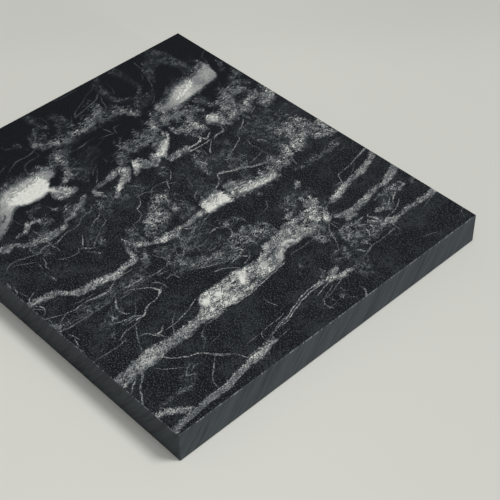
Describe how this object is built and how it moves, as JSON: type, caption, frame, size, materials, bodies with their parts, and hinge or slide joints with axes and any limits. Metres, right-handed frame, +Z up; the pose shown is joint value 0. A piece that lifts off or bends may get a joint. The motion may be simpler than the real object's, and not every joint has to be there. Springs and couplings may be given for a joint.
{
  "type": "compact laminate worktop board",
  "caption": "Small rectangular piece of solid compact laminate worktop, black through its thickness, with a black veined marble decor on its upper face and fine arrises on every edge.",
  "frame": {"origin": "centre of the underside, on the surface that the board lies on", "axes": "+X along the length, +Y across the depth towards the back edge, +Z up through the thickness to the decor face"},
  "size_m": [0.16, 0.14, 0.0125],
  "materials": {
    "marble_laminate": "matt melamine decor face of near-black marble with white and grey veins; matt black phenolic core on the sawn edges and the underside"
  },
  "bodies": {
    "root": {"worktop_board": "marble_laminate"}
  },
  "joints": []
}
